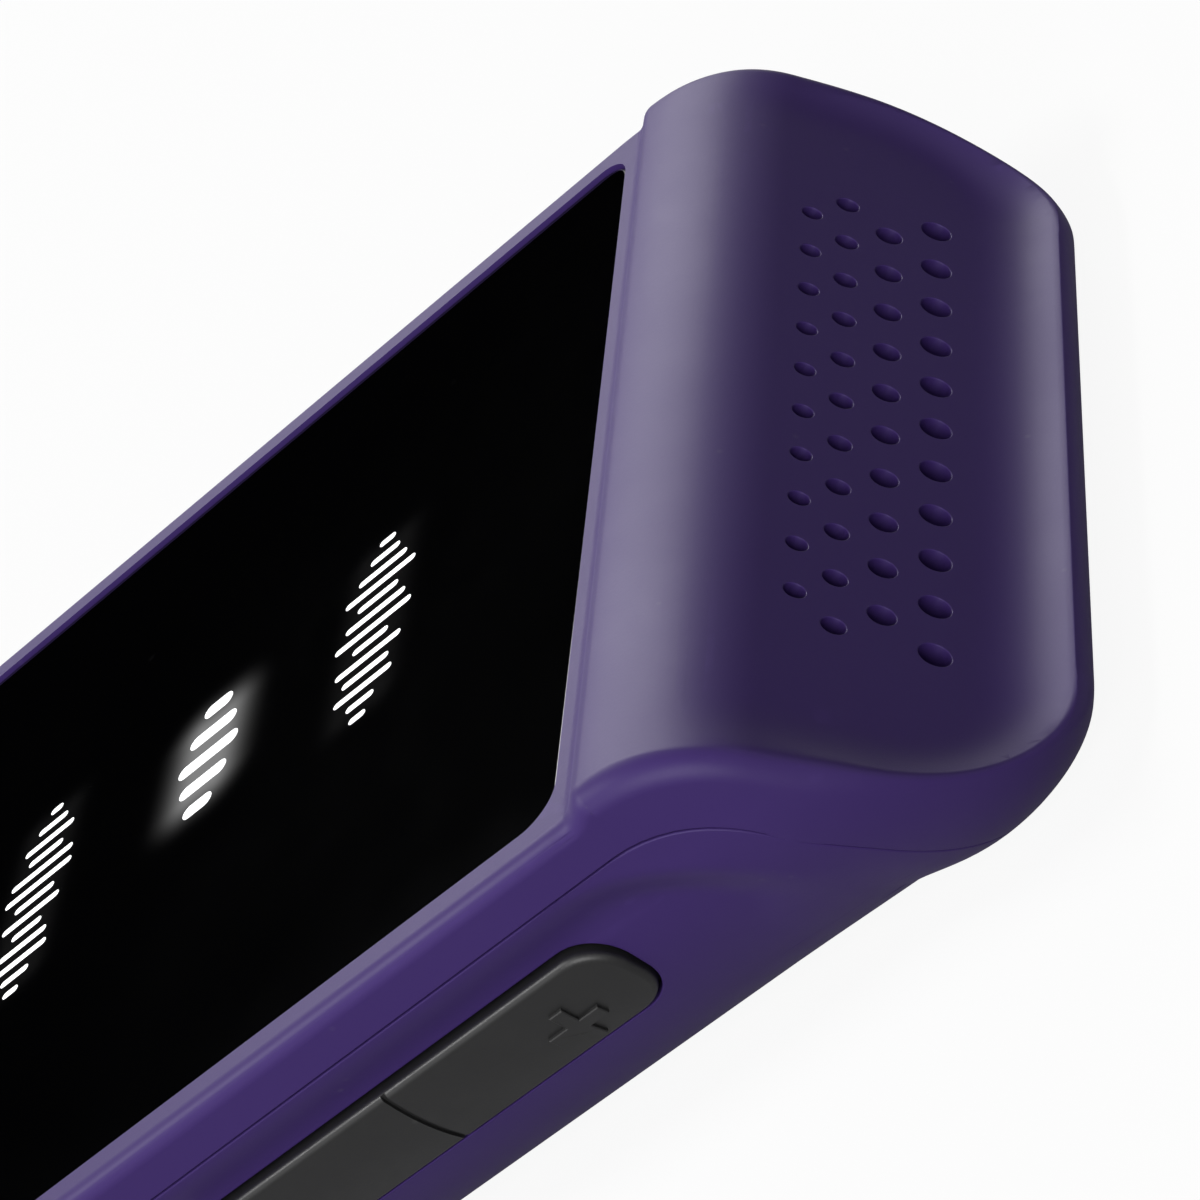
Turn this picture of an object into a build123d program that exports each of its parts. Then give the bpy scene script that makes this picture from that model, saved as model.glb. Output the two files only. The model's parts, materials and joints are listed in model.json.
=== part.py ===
from build123d import *
import os
from math import cos, radians, sin, sqrt, tan

# Handheld translator. X runs across the screen, Y from the charging port up to
# the speaker end, Z out of the screen. The origin is the middle of the rear face.

os.makedirs("parts", exist_ok=True)

# ---- driving dimensions, millimetres ----

# outer form
body_width = 62.0
body_length = 130.8
body_depth = 19.0  # rear face to the crown of the speaker end
corner_radius = 12.0  # corners seen from the front
side_roll = 13.7  # side wall rolling into the rear face
roll_edge_angle = 8.0  # slope left where the roll meets the flat of the rear face
end_roll = 5.6  # end walls rolling into the rear face
waist_step = 1.0  # how far the lower wall stands in from the upper one
wall = 1.6

# screen and bezel
bezel_width = 2.2  # side wall to the glass
glass_thickness = 0.9
glass_drop = 0.97  # glass face below the crown
bezel_height = 0.22  # bezel face above the glass
speaker_end_length = 18.9  # top edge of the glass to the speaker end
chin_length = 5.0  # bottom edge of the glass to the port end
glass_top_radius = 2.0
glass_bottom_radius = 6.0
glass_clearance = 0.1
glass_edge = 0.2
gasket_thickness = 0.15
gasket_inset = 0.3
ledge_width = 1.6
ledge_thickness = 1.0

# speaker end, seen from the side
bezel_flat = 1.2  # flat bezel between the glass and the step
valley_radius = 0.3
crest_radius = 1.2
step_turn = 60.0
crown_radius = 8.58  # crown rolling over into the slope
slope_angle = 56.0
dish_crown_radius = 7.64
dish_angle = 62.0
dish_length = 14.0  # down the slope from the dish crown
dish_corner_length = 16.4
dish_corner_width = 11.0
dish_fillet = 4.0
inner_corner_radius = 1.5
rim_fillet = 1.3

# speaker grille
grille_pitch = 3.725
grille_counts = [10, 11, 10, 11]
grille_diameters = [1.1, 1.24, 1.44, 1.64]
grille_rows = [1.45, 3.35, 5.63, 8.2]  # down the slope from the dish crown

# parting line between the housings and the soft step below it
seam_drop = 2.35  # below the glass face
seam_gap = 0.1
seam_bend = 5.47  # beyond the top edge of the glass
seam_knee = (9.49, 10.19)  # beyond the glass edge, below the glass
seam_end = (13.0, 20.0)
seam_radii = [6.5, 12.0]
band_drop = 3.65
band_bend = 2.86
band_end = (9.54, 20.0)
band_radius = 4.8
band_fillet = 0.3
shoulder_foot = 0.8  # lower end of the shoulder above the rear face
tongue_thickness = 1.2
tongue_depth = 1.2
tongue_stop = 11.0  # tongue and groove end this far from the speaker end
fit_clearance = 0.1

# side keys
rocker_length = 27.4
power_key_length = 9.0
talk_key_length = 22.0
key_height = 5.3
key_corner = 2.2
key_centre_height = 10.1
key_clearance = 0.18
key_proud = 0.7  # upper edge of a key outside the wall
key_lower_proud = 0.1
key_face_radius = 12.7
key_edge = 0.35
key_travel = 0.35
key_flange = 0.6  # retaining flange beyond the cap, and its thickness
flange_gap = 0.4
flange_side_clearance = 0.3
key_pad_margin = 1.2  # thickened wall beyond the caps
key_wall_depth = 3.2  # side wall to the inner face behind the keys
rocker_start = 2.7  # upper end of the rocker below the glass edge
power_key_below = 7.0  # key centres below the glass edge
talk_key_below = 26.0
rocker_groove_width = 0.3
rocker_groove_depth = 0.2

# key boards and switches
key_board_thickness = 0.6
key_board_height = 6.0
key_board_radius = 0.5
key_board_margin = 1.0  # board beyond the caps
switch_height = 0.9
switch_length = 3.4
switch_width = 2.8
switch_dome = 0.3
switch_dome_radius = 0.7
switch_margin = 0.1  # key pressed home to the switch dome
rocker_switch_spread = 9.0  # switches either side of the pivot
talk_switch_spread = 6.0

# mid frame
frame_sheet = 0.8
frame_clearance = 0.13  # screw heads to the display
frame_side_margin = 4.7  # side wall to the frame
frame_upper_reach = 3.9  # frame beyond the glass
frame_lower_margin = 5.0  # port end to the frame
frame_radius = 5.0
frame_window_width = 30.0
frame_window_margin = 4.0  # window inside the ends of the battery
frame_window_radius = 2.0
tab_thickness = 0.8
boss_diameter = 4.6
boss_side_inset = 1.9  # boss centres inside the edges of the frame
boss_upper_inset = 2.4
boss_lower_inset = 6.0
boss_key_gap = 8.5  # below the key boards
screw_diameter = 1.6
screw_head_diameter = 3.0
screw_head_height = 0.6
screw_length = 5.0
screw_clearance = 0.05
screw_slot_width = 0.5

# display
display_side_margin = 2.1  # glass edge to display edge at the sides
display_thickness = 2.2
display_radius = 1.5
display_margin = 4.0  # glass edge to display edge at both ends

# battery and boards
battery_width = 40.0
battery_thickness = 6.5
battery_upper_gap = 7.0  # battery to the main board
battery_lower_gap = 4.3  # battery to the sub board
battery_pad_thickness = 0.8
battery_pad_margin = (6.0, 4.0)
battery_radius = 2.0
battery_edge = 0.8
board_thickness = 1.0
board_radius = 1.0
main_board_width = 42.0
main_board_length = 39.5
main_board_inset = 2.0  # below the glass edge
main_board_rise = 6.4  # above the floor
sub_board_width = 36.0
sub_board_length = 11.3
sub_board_margin = 3.8  # port end to the board
sub_board_rise = 4.7
post_diameter = 2.6
main_board_post_inset = (2.5, 3.0)
sub_board_post_inset = (4.0, 2.5)
processor_shield_size = (20.0, 18.0, 1.8)
processor_shield_place = (-8.0, 14.5)  # across, and below the upper end of the board
modem_shield_size = (16.0, 13.0, 1.6)
modem_shield_place = (9.5, 30.5)
shield_radius = 1.0
shield_sheet = 0.2
ribbon_width = 8.0
ribbon_thickness = 0.3
ribbon_x = -4.0
ribbon_lap = 4.0

# charging port
port_width = 8.94
port_height = 3.26
port_wall = 0.3
port_depth = 7.4
port_clearance = 0.12
tongue_width = 6.7
tongue_height = 0.7
tongue_inset = 0.8
port_sink = 0.1  # mouth of the port inside the end wall

# sound and motion
motor_diameter = 8.0
motor_thickness = 2.7
motor_edge = 0.3
motor_place = (12.5, 6.0)  # across, and above the lower end of the board
microphone_size = (3.2, 2.4, 1.1)
port_microphone_offset = (-10.5, 2.2)  # across, and above the lower end of the sub board
rear_microphone_offset = (12.0, 6.5)  # across, and below the upper end of the main board
microphone_hole = 1.0
speaker_width = 42.0
speaker_height = 9.4
speaker_depth = 3.6
speaker_frame_wall = 1.0
speaker_gasket_thickness = 0.8
mesh_thickness = 0.2
mesh_radius = 2.0
mesh_inset = 1.0  # inside the ends of the speaker
cone_rise = 0.9
cone_sheet = 0.4
cone_taper = 40.0
surround_width = 1.0
magnet_size = (30.0, 5.4, 1.6)
magnet_radius = 1.0

# rear camera
camera_offset = (-8.0, 11.5)  # across, and below the upper end of the main board
camera_size = (9.0, 9.0)
camera_radius = 0.8
camera_body_height = 4.0
camera_gap = 0.4  # lens barrel to the window
camera_lens_diameter = 7.0
camera_window_diameter = 11.0
camera_window_thickness = 0.8
camera_window_sink = 0.1
camera_aperture = 8.0
flash_offset = 12.0  # beside the camera
flash_diameter = 4.0
flash_pipe_diameter = 2.4
flash_led_size = (2.4, 2.4, 0.8)
window_clearance = 0.05

# ---- places worked out from them ----

half_width = body_width / 2
speaker_end = body_length / 2
port_end = -body_length / 2
glass_top = speaker_end - speaker_end_length
glass_bottom = port_end + chin_length
glass_face = body_depth - glass_drop
bezel_face = glass_face + bezel_height
gasket_top = glass_face - glass_thickness
ledge_top = gasket_top - gasket_thickness
ledge_bottom = ledge_top - ledge_thickness
glass_width = body_width - 2 * bezel_width
glass_length = glass_top - glass_bottom
glass_centre = (glass_top + glass_bottom) / 2
inner_margin = waist_step + wall
far = 4 * body_length  # past the end of anything
seam_height = glass_face - seam_drop
crown_start = glass_top + bezel_flat + (valley_radius + crest_radius) * sin(radians(step_turn))
dish_normal = Vector(0, sin(radians(dish_angle)), cos(radians(dish_angle)))
dish_down = Vector(0, cos(radians(dish_angle)), -sin(radians(dish_angle)))
dish_top = Vector(
    0,
    crown_start + dish_crown_radius * sin(radians(dish_angle)),
    body_depth - dish_crown_radius * (1 - cos(radians(dish_angle))),
)
display_bottom = gasket_top - display_thickness
frame_top = display_bottom - screw_head_height - frame_clearance
frame_bottom = frame_top - frame_sheet
tab_bottom = key_centre_height - key_board_height / 2
frame_half_width = half_width - frame_side_margin
frame_upper_end = glass_top + frame_upper_reach
frame_lower_end = port_end + frame_lower_margin
tongue_end = speaker_end - tongue_stop
key_seat = half_width - key_wall_depth  # inner face of the wall behind the keys
key_stop = key_seat - flange_gap  # outer face of the key flanges
key_back = key_stop - key_flange  # inner face of the key flanges
board_face = key_back - key_travel - switch_margin - switch_dome - switch_height
tab_face = board_face - key_board_thickness
rocker_centre = glass_top - rocker_start - rocker_length / 2
power_key_centre = glass_top - power_key_below
talk_key_centre = glass_top - talk_key_below
right_keys = [(rocker_centre, rocker_length)]
left_keys = [(power_key_centre, power_key_length), (talk_key_centre, talk_key_length)]
right_board_ends = (
    rocker_centre - rocker_length / 2 + key_board_margin,
    rocker_centre + rocker_length / 2 - key_board_margin,
)
left_board_ends = (
    talk_key_centre - talk_key_length / 2 + key_board_margin,
    power_key_centre + power_key_length / 2 - key_board_margin,
)
right_switches = [rocker_centre - rocker_switch_spread, rocker_centre + rocker_switch_spread]
left_switches = [
    power_key_centre,
    talk_key_centre - talk_switch_spread,
    talk_key_centre + talk_switch_spread,
]
boss_x = frame_half_width - boss_side_inset
boss_upper_row = frame_upper_end - boss_upper_inset
boss_key_row = left_board_ends[0] - boss_key_gap
boss_lower_row = frame_lower_end + boss_lower_inset
boss_rows = [boss_lower_row, (boss_lower_row + boss_key_row) / 2, boss_key_row, boss_upper_row]
main_board_bottom = wall + main_board_rise
main_board_top = main_board_bottom + board_thickness
sub_board_bottom = wall + sub_board_rise
sub_board_top = sub_board_bottom + board_thickness
main_board_end = glass_top - main_board_inset
main_board_ends = (main_board_end - main_board_length, main_board_end)
sub_board_end = port_end + sub_board_margin
sub_board_ends = (sub_board_end, sub_board_end + sub_board_length)
battery_ends = (sub_board_ends[1] + battery_lower_gap, main_board_ends[0] - battery_upper_gap)
battery_length = battery_ends[1] - battery_ends[0]
battery_centre = (battery_ends[0] + battery_ends[1]) / 2
battery_bottom = wall + battery_pad_thickness
processor_shield_centre = (processor_shield_place[0], main_board_end - processor_shield_place[1])
modem_shield_centre = (modem_shield_place[0], main_board_end - modem_shield_place[1])
motor_centre = (motor_place[0], sub_board_end + motor_place[1])
port_microphone_place = (
    port_microphone_offset[0],
    sub_board_end + port_microphone_offset[1],
)
rear_microphone_place = (
    rear_microphone_offset[0],
    main_board_end - rear_microphone_offset[1],
)
camera_place = (camera_offset[0], main_board_end - camera_offset[1])
camera_front = camera_window_sink + camera_window_thickness + camera_gap
flash_place = (camera_place[0] + flash_offset, camera_place[1])
main_board_posts = [
    (side * (main_board_width / 2 - main_board_post_inset[0]), end)
    for side in (-1, 1)
    for end in (
        main_board_ends[0] + main_board_post_inset[1],
        main_board_ends[1] - main_board_post_inset[1],
    )
]
sub_board_posts = [
    (side * (sub_board_width / 2 - sub_board_post_inset[0]), end)
    for side in (-1, 1)
    for end in (
        sub_board_ends[0] + sub_board_post_inset[1],
        sub_board_ends[1] - sub_board_post_inset[1],
    )
]
port_mouth = port_end + waist_step + port_sink
port_centre_height = sub_board_top + port_height / 2


def roll_inset(height, radius):
    """How far a side wall that rolls into the rear face stands in at this height."""
    centre = radius * cos(radians(roll_edge_angle))
    if height >= centre:
        return 0.0
    return radius - sqrt(radius**2 - (centre - height) ** 2)


def outline_block(margin, bottom, top):
    """Upright block with the body's outline, `margin` inside it."""
    with BuildPart() as block:
        with BuildSketch(Plane.XY.offset(bottom)):
            RectangleRounded(
                body_width - 2 * margin, body_length - 2 * margin, corner_radius - margin
            )
        extrude(amount=top - bottom)
    return block.part


def rolled_form(margin, floor, top):
    """Body whose upright walls roll into its rear face, `margin` inside the outer form."""
    reach = half_width - margin
    roll = side_roll - margin
    with BuildPart() as form:
        add(outline_block(margin, floor, top))
        fillet(form.faces().sort_by(Axis.Z)[0].edges(), end_roll - margin)
        with BuildSketch(Plane.XZ):
            with BuildLine():
                Line((0, top), (reach, top))
                Line((reach, top), (reach, floor + roll * cos(radians(roll_edge_angle))))
                RadiusArc(
                    (reach, floor + roll * cos(radians(roll_edge_angle))),
                    (reach - roll_inset(0, roll), floor),
                    roll,
                )
                Line((reach - roll_inset(0, roll), floor), (0, floor))
                mirror(about=Plane.YZ)
            make_face()
        extrude(amount=body_length, both=True, mode=Mode.INTERSECT)
    return form.part


def slab_under(points, corner_radii):
    """Everything under a line drawn on the middle plane and carried across the body."""
    with BuildPart() as slab:
        with BuildSketch(Plane.YZ):
            with BuildLine():
                line = FilletPolyline(*points, radius=corner_radii)
                Polyline(
                    line @ 1, (points[-1][0], -far), (points[0][0], -far), line @ 0
                )
            make_face()
        extrude(amount=body_width, both=True)
    return slab.part


def under_seam(drop):
    """Everything under the parting line, lowered by `drop`."""
    points = [
        (-far, seam_height - drop),
        (glass_top + seam_bend, seam_height - drop),
        (glass_top + seam_knee[0], glass_face - seam_knee[1] - drop),
        (glass_top + seam_end[0], glass_face - seam_end[1] - drop),
    ]
    return slab_under(points, seam_radii)


def under_band():
    """Everything under the soft step in the side walls."""
    points = [
        (-far, glass_face - band_drop),
        (glass_top + band_bend, glass_face - band_drop),
        (glass_top + band_end[0], glass_face - band_end[1]),
    ]
    return slab_under(points, [band_radius])


def slope_plane(distance, depth):
    """Plane on the dish floor, `distance` down the slope from its crown and `depth` below it."""
    origin = dish_top + dish_down * distance - dish_normal * depth
    return Plane(origin=origin, x_dir=(1, 0, 0), z_dir=dish_normal)


def glass_outline(margin, bottom, top):
    """Block with the outline of the cover glass, `margin` inside it."""
    with BuildPart() as block:
        with BuildSketch(Plane.XY.offset(bottom)) as outline:
            with Locations((0, glass_centre)):
                Rectangle(glass_width - 2 * margin, glass_length - 2 * margin)
            fillet(outline.vertices().group_by(Axis.Y)[-1], glass_top_radius - margin)
            fillet(outline.vertices().group_by(Axis.Y)[0], glass_bottom_radius - margin)
        extrude(amount=top - bottom)
    return block.part


def waist_reach(height):
    """Distance from the middle plane to the lower side wall at this height."""
    return half_width - waist_step - roll_inset(height, side_roll - waist_step)


def key_block(centre, length, margin, inner, outer):
    """Block with the outline of a right-hand side key, from one distance off the middle to another."""
    with BuildPart() as block:
        with BuildSketch(Plane.YZ.offset(inner)):
            with Locations((centre, key_centre_height)):
                RectangleRounded(
                    length + 2 * margin, key_height + 2 * margin, key_corner + margin
                )
        extrude(amount=outer - inner)
    return block.part


def key_face_slab(sink):
    """Everything inside the crowned face of the side keys, lowered by `sink`."""
    top = key_centre_height + key_height / 2
    bottom = key_centre_height - key_height / 2
    with BuildPart() as slab:
        with BuildSketch(Plane.XZ):
            with BuildLine():
                face = RadiusArc(
                    (waist_reach(bottom) + key_lower_proud - sink, bottom),
                    (waist_reach(top) + key_proud - sink, top),
                    -key_face_radius,
                )
                Polyline(
                    face @ 1,
                    ((face @ 1).X, top + key_height),
                    (0, top + key_height),
                    (0, bottom - key_height),
                    ((face @ 0).X, bottom - key_height),
                    face @ 0,
                )
            make_face()
        extrude(amount=body_length, both=True)
    return slab.part


def side_key(centre, length):
    """Right-hand key cap: crowned face, upright sides and a flange that keeps it in."""
    with BuildPart() as key:
        add(key_block(centre, length, 0, key_stop, half_width + key_proud))
        add(key_face, mode=Mode.INTERSECT)
        fillet(key.faces().sort_by(Axis.X)[-1].edges(), key_edge)
        add(key_block(centre, length, key_flange, key_back, key_stop))
    return key.part


def key_wall(centre, length):
    """Thickened wall round a right-hand key, inside the lower form."""
    with BuildPart() as pad:
        add(key_block(centre, length, key_pad_margin, key_seat, half_width))
        add(waist_form, mode=Mode.INTERSECT)
    return pad.part


def key_opening(centre, length):
    """Opening for a right-hand key and the recess that its flange moves in."""
    with BuildPart() as opening:
        add(key_block(centre, length, key_clearance, key_back - wall, body_width))
        recess = key_flange + flange_side_clearance
        add(key_block(centre, length, recess, key_back - wall, key_seat))
    return opening.part


def key_board(ends, side):
    """Strip board that carries the switches, on the outside of a mid frame tab."""
    with BuildPart() as board:
        with BuildSketch(Plane.YZ.offset(side * tab_face)):
            with Locations(((ends[0] + ends[1]) / 2, key_centre_height)):
                RectangleRounded(ends[1] - ends[0], key_board_height, key_board_radius)
        extrude(amount=side * key_board_thickness)
    return board.part


def tact_switch(centre, side):
    """Tact switch with a dome, on the outer face of a key board."""
    with BuildPart() as switch:
        with BuildSketch(Plane.YZ.offset(side * board_face)):
            with Locations((centre, key_centre_height)):
                Rectangle(switch_length, switch_width)
        extrude(amount=side * switch_height)
        with BuildSketch(Plane.YZ.offset(side * (board_face + switch_height))):
            with Locations((centre, key_centre_height)):
                Circle(switch_dome_radius)
        extrude(amount=side * switch_dome)
    return switch.part


def posts(places, diameter, top):
    """Round posts that stand on the rear housing and end at `top`."""
    with BuildPart() as group:
        with BuildSketch(Plane.XY):
            with Locations(*places):
                Circle(diameter / 2)
        extrude(amount=top)
        add(waist_form, mode=Mode.INTERSECT)
    return group.part


def lies_on(edge, faces):
    """Whether an edge runs along any of these faces."""
    points = [edge @ place for place in (0.2, 0.5, 0.8)]
    return any(
        all(face.distance_to(point) < 0.001 for point in points) for face in faces
    )


def border(part, faces):
    """Edges of a part that run along these faces, less the ones across the body between them."""
    found = part.edges().filter_by(lambda edge: lies_on(edge, faces))
    across = found.filter_by(Axis.X).sort_by(Axis.Y)
    return [edge for edge in found if edge not in across[1:-1]]


def finish(piece, name):
    piece.part.label = name
    export_step(piece.part, f"parts/{name}.step")


outer_form = rolled_form(0, 0, body_depth + 1)
waist_form = rolled_form(waist_step, 0, body_depth + 1)
cavity_form = rolled_form(inner_margin, wall, body_depth + 1)
key_face = key_face_slab(0)
boss_places = [(side * boss_x, row) for side in (-1, 1) for row in boss_rows]

# ---- front housing: bezel, step, rolled crown and dished speaker end ----

# everything under the bezel, the step, the crown and the slope
with BuildPart() as front_profile:
    with BuildSketch(Plane.YZ):
        with BuildLine():
            bezel_line = Line((-far, bezel_face), (glass_top + bezel_flat, bezel_face))
            valley = JernArc(bezel_line @ 1, bezel_line % 1, valley_radius, step_turn)
            crest = JernArc(valley @ 1, valley % 1, crest_radius, -step_turn)
            crown = JernArc(crest @ 1, crest % 1, crown_radius, -slope_angle)
            slope = PolarLine(crown @ 1, 2 * body_depth, -slope_angle)
            Polyline(slope @ 1, (-far, (slope @ 1).Y), bezel_line @ 0)
        make_face()
    extrude(amount=body_width, both=True)

# the hollow of the dish: its floor rolls over more tightly than the rim
with BuildPart() as dish:
    with BuildSketch(Plane.YZ):
        with BuildLine():
            dish_crown = JernArc(
                (crown_start, body_depth), (1, 0), dish_crown_radius, -dish_angle
            )
            dish_floor = PolarLine(dish_crown @ 1, 2 * body_depth, -dish_angle)
            Polyline(
                dish_floor @ 1,
                (speaker_end + body_depth, (dish_floor @ 1).Y),
                (speaker_end + body_depth, 2 * body_depth),
                (crown_start, 2 * body_depth),
                dish_crown @ 0,
            )
        make_face()
    extrude(amount=half_width, both=True)
    with BuildSketch(slope_plane(0, body_depth)):
        with BuildLine():
            corner_start = dish_length - dish_corner_length
            corner_centre = half_width - dish_corner_width
            Polyline(
                (half_width, corner_start),
                (half_width, -far),
                (-half_width, -far),
                (-half_width, corner_start),
            )
            EllipticalCenterArc(
                (-corner_centre, corner_start), dish_corner_width, dish_corner_length, 90, arc_size=90
            )
            Line((-corner_centre, dish_length), (corner_centre, dish_length))
            EllipticalCenterArc(
                (corner_centre, corner_start), dish_corner_width, dish_corner_length, 0, arc_size=90
            )
        make_face()
    extrude(amount=4 * body_depth, mode=Mode.INTERSECT)
    floor_faces = dish.faces().filter_by(
        lambda face: face.normal_at().Y < 0.1 and face.normal_at().Z < -0.1
    )
    floor_edges = dish.edges().filter_by(lambda edge: lies_on(edge, floor_faces))
    across = floor_edges.filter_by(Axis.X).sort_by(Axis.Y)
    fillet([edge for edge in floor_edges if edge not in across[:-1]], dish_fillet)

# the space under the front housing: flat below the ledge, then `wall` inside the dish floor
inner_slope = dish_top - dish_normal * wall
inner_corner = inner_slope.Y + (inner_slope.Z - ledge_bottom) / tan(radians(dish_angle))
inner_end = inner_slope + dish_down * 2 * body_depth
with BuildPart() as front_cavity:
    add(cavity_form)
    add(
        slab_under(
            [(-far, ledge_bottom), (inner_corner, ledge_bottom), (inner_end.Y, inner_end.Z)],
            [inner_corner_radius],
        ),
        mode=Mode.INTERSECT,
    )

# tongue that locates the two housings, along the sides and the port end
with BuildPart() as tongue:
    add(outline_block(inner_margin - tongue_thickness, 0, body_depth))
    add(outline_block(inner_margin, 0, body_depth), mode=Mode.SUBTRACT)
    add(under_seam(0), mode=Mode.INTERSECT)
    add(under_seam(tongue_depth), mode=Mode.SUBTRACT)
    split(bisect_by=Plane.XZ.offset(-tongue_end), keep=Keep.TOP)

with BuildPart() as tongue_groove:
    add(outline_block(inner_margin - tongue_thickness - fit_clearance, 0, body_depth))
    add(under_seam(tongue_depth + fit_clearance), mode=Mode.SUBTRACT)
    split(bisect_by=Plane.XZ.offset(-tongue_end - fit_clearance), keep=Keep.TOP)

with BuildPart() as front_housing:
    add(outer_form)
    add(front_profile.part, mode=Mode.INTERSECT)
    profile_faces = front_profile.faces().filter_by(lambda face: face.normal_at().Z > 0.1)
    fillet(border(front_housing, profile_faces), rim_fillet)
    add(dish.part, mode=Mode.SUBTRACT)
    add(under_seam(0), mode=Mode.SUBTRACT)
    add(tongue.part)
    add(front_cavity.part, mode=Mode.SUBTRACT)
    add(glass_outline(-glass_clearance, ledge_top, body_depth), mode=Mode.SUBTRACT)
    add(glass_outline(ledge_width, ledge_bottom - 1, body_depth), mode=Mode.SUBTRACT)
    for distance, count, diameter in zip(grille_rows, grille_counts, grille_diameters):
        with Locations(slope_plane(distance, 0)):
            with GridLocations(grille_pitch, 1, count, 1):
                Hole(diameter / 2, depth=2 * wall)
finish(front_housing, "front_housing")

# ---- rear housing: tub with rolled sides, a shoulder under the parting line ----

with BuildPart() as shoulder:
    add(outer_form)
    add(under_seam(seam_gap), mode=Mode.INTERSECT)
    split(bisect_by=Plane.XY.offset(shoulder_foot), keep=Keep.TOP)
    band = under_band()
    add(band, mode=Mode.SUBTRACT)
    band_faces = band.faces().filter_by(lambda face: face.normal_at().Z > 0.1)
    lower_edges = border(shoulder, band_faces)
    fillet([edge for edge in lower_edges if edge.center().Z > 2 * shoulder_foot], band_fillet)

with BuildPart() as rear_housing:
    add(waist_form)
    add(under_seam(seam_gap), mode=Mode.INTERSECT)
    add(shoulder.part)
    add(cavity_form, mode=Mode.SUBTRACT)
    add(tongue_groove.part, mode=Mode.SUBTRACT)
    for centre, length in right_keys:
        add(key_wall(centre, length))
    for centre, length in left_keys:
        add(mirror(key_wall(centre, length), about=Plane.YZ, mode=Mode.PRIVATE))
    add(posts(boss_places, boss_diameter, frame_bottom))
    add(posts(main_board_posts, post_diameter, main_board_bottom))
    add(posts(sub_board_posts, post_diameter, sub_board_bottom))
    for centre, length in right_keys:
        add(key_opening(centre, length), mode=Mode.SUBTRACT)
    for centre, length in left_keys:
        opening = mirror(key_opening(centre, length), about=Plane.YZ, mode=Mode.PRIVATE)
        add(opening, mode=Mode.SUBTRACT)
    with Locations(*[(x, y, frame_bottom) for x, y in boss_places]):
        Hole(screw_diameter / 2 + screw_clearance, depth=screw_length)
    with Locations((*camera_place, 0)):
        Cylinder(camera_aperture / 2, 4 * wall, mode=Mode.SUBTRACT)
        Cylinder(
            camera_window_diameter / 2 + window_clearance,
            2 * (camera_window_thickness + camera_window_sink),
            mode=Mode.SUBTRACT,
        )
    with Locations((*flash_place, 0)):
        Cylinder(flash_diameter / 2 + window_clearance, 4 * wall, mode=Mode.SUBTRACT)
    with Locations((*rear_microphone_place, 0)):
        Cylinder(microphone_hole / 2, 4 * wall, mode=Mode.SUBTRACT)
    with BuildSketch(Plane.XZ.offset(-port_end - 4 * wall)):
        with Locations((0, port_centre_height)):
            SlotOverall(port_width + 2 * port_clearance, port_height + 2 * port_clearance)
        with Locations((port_microphone_place[0], sub_board_top + microphone_size[2] / 2)):
            Circle(microphone_hole / 2)
    extrude(amount=8 * wall, mode=Mode.SUBTRACT)
finish(rear_housing, "rear_housing")

# ---- screen ----

with BuildPart() as cover_glass:
    add(glass_outline(0, gasket_top, glass_face))
    fillet(cover_glass.faces().sort_by(Axis.Z)[-1].edges(), glass_edge)
finish(cover_glass, "cover_glass")

with BuildPart() as glass_gasket:
    add(glass_outline(gasket_inset, ledge_top, gasket_top))
    add(glass_outline(ledge_width, ledge_top, gasket_top), mode=Mode.SUBTRACT)
finish(glass_gasket, "glass_gasket")

with BuildPart() as display_panel:
    with BuildSketch(Plane.XY.offset(display_bottom)):
        with Locations((0, glass_centre)):
            RectangleRounded(
                glass_width - 2 * display_side_margin,
                glass_length - 2 * display_margin,
                display_radius,
            )
    extrude(amount=display_thickness)
finish(display_panel, "display_panel")

# ---- mid frame, with tabs that carry the key boards ----

with BuildPart() as mid_frame:
    with BuildSketch(Plane.XY.offset(frame_bottom)):
        with Locations((0, (frame_upper_end + frame_lower_end) / 2)):
            RectangleRounded(2 * frame_half_width, frame_upper_end - frame_lower_end, frame_radius)
        with Locations((0, battery_centre)):
            RectangleRounded(
                frame_window_width,
                battery_length - 2 * frame_window_margin,
                frame_window_radius,
                mode=Mode.SUBTRACT,
            )
    extrude(amount=frame_sheet)
    for side, ends in ((1, right_board_ends), (-1, left_board_ends)):
        with BuildSketch(Plane.YZ.offset(side * (tab_face - tab_thickness))):
            with Locations(((ends[0] + ends[1]) / 2, (frame_bottom + tab_bottom) / 2)):
                Rectangle(ends[1] - ends[0], frame_bottom - tab_bottom)
        extrude(amount=side * tab_thickness)
    with Locations(*[(x, y, frame_top) for x, y in boss_places]):
        Hole(screw_diameter / 2 + fit_clearance)
finish(mid_frame, "mid_frame")

with BuildPart() as frame_screws:
    with BuildSketch(Plane.XY.offset(frame_top)):
        with Locations(*boss_places):
            Circle(screw_head_diameter / 2)
            Rectangle(screw_head_diameter, screw_slot_width, mode=Mode.SUBTRACT)
    extrude(amount=screw_head_height)
    with BuildSketch(Plane.XY.offset(frame_top)):
        with Locations(*boss_places):
            Circle(screw_diameter / 2)
    extrude(amount=-screw_length)
finish(frame_screws, "frame_screws")

# ---- boards, battery and what they carry ----

with BuildPart() as battery_pad:
    with BuildSketch(Plane.XY.offset(wall)):
        with Locations((0, battery_centre)):
            Rectangle(
                battery_width - 2 * battery_pad_margin[0],
                battery_length - 2 * battery_pad_margin[1],
            )
    extrude(amount=battery_pad_thickness)
finish(battery_pad, "battery_pad")

with BuildPart() as battery:
    with BuildSketch(Plane.XY.offset(battery_bottom)):
        with Locations((0, battery_centre)):
            RectangleRounded(battery_width, battery_length, battery_radius)
    extrude(amount=battery_thickness)
    chamfer(battery.faces().sort_by(Axis.Z)[-1].edges(), battery_edge)
    chamfer(battery.faces().sort_by(Axis.Z)[0].edges(), battery_edge)
finish(battery, "battery")

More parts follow.
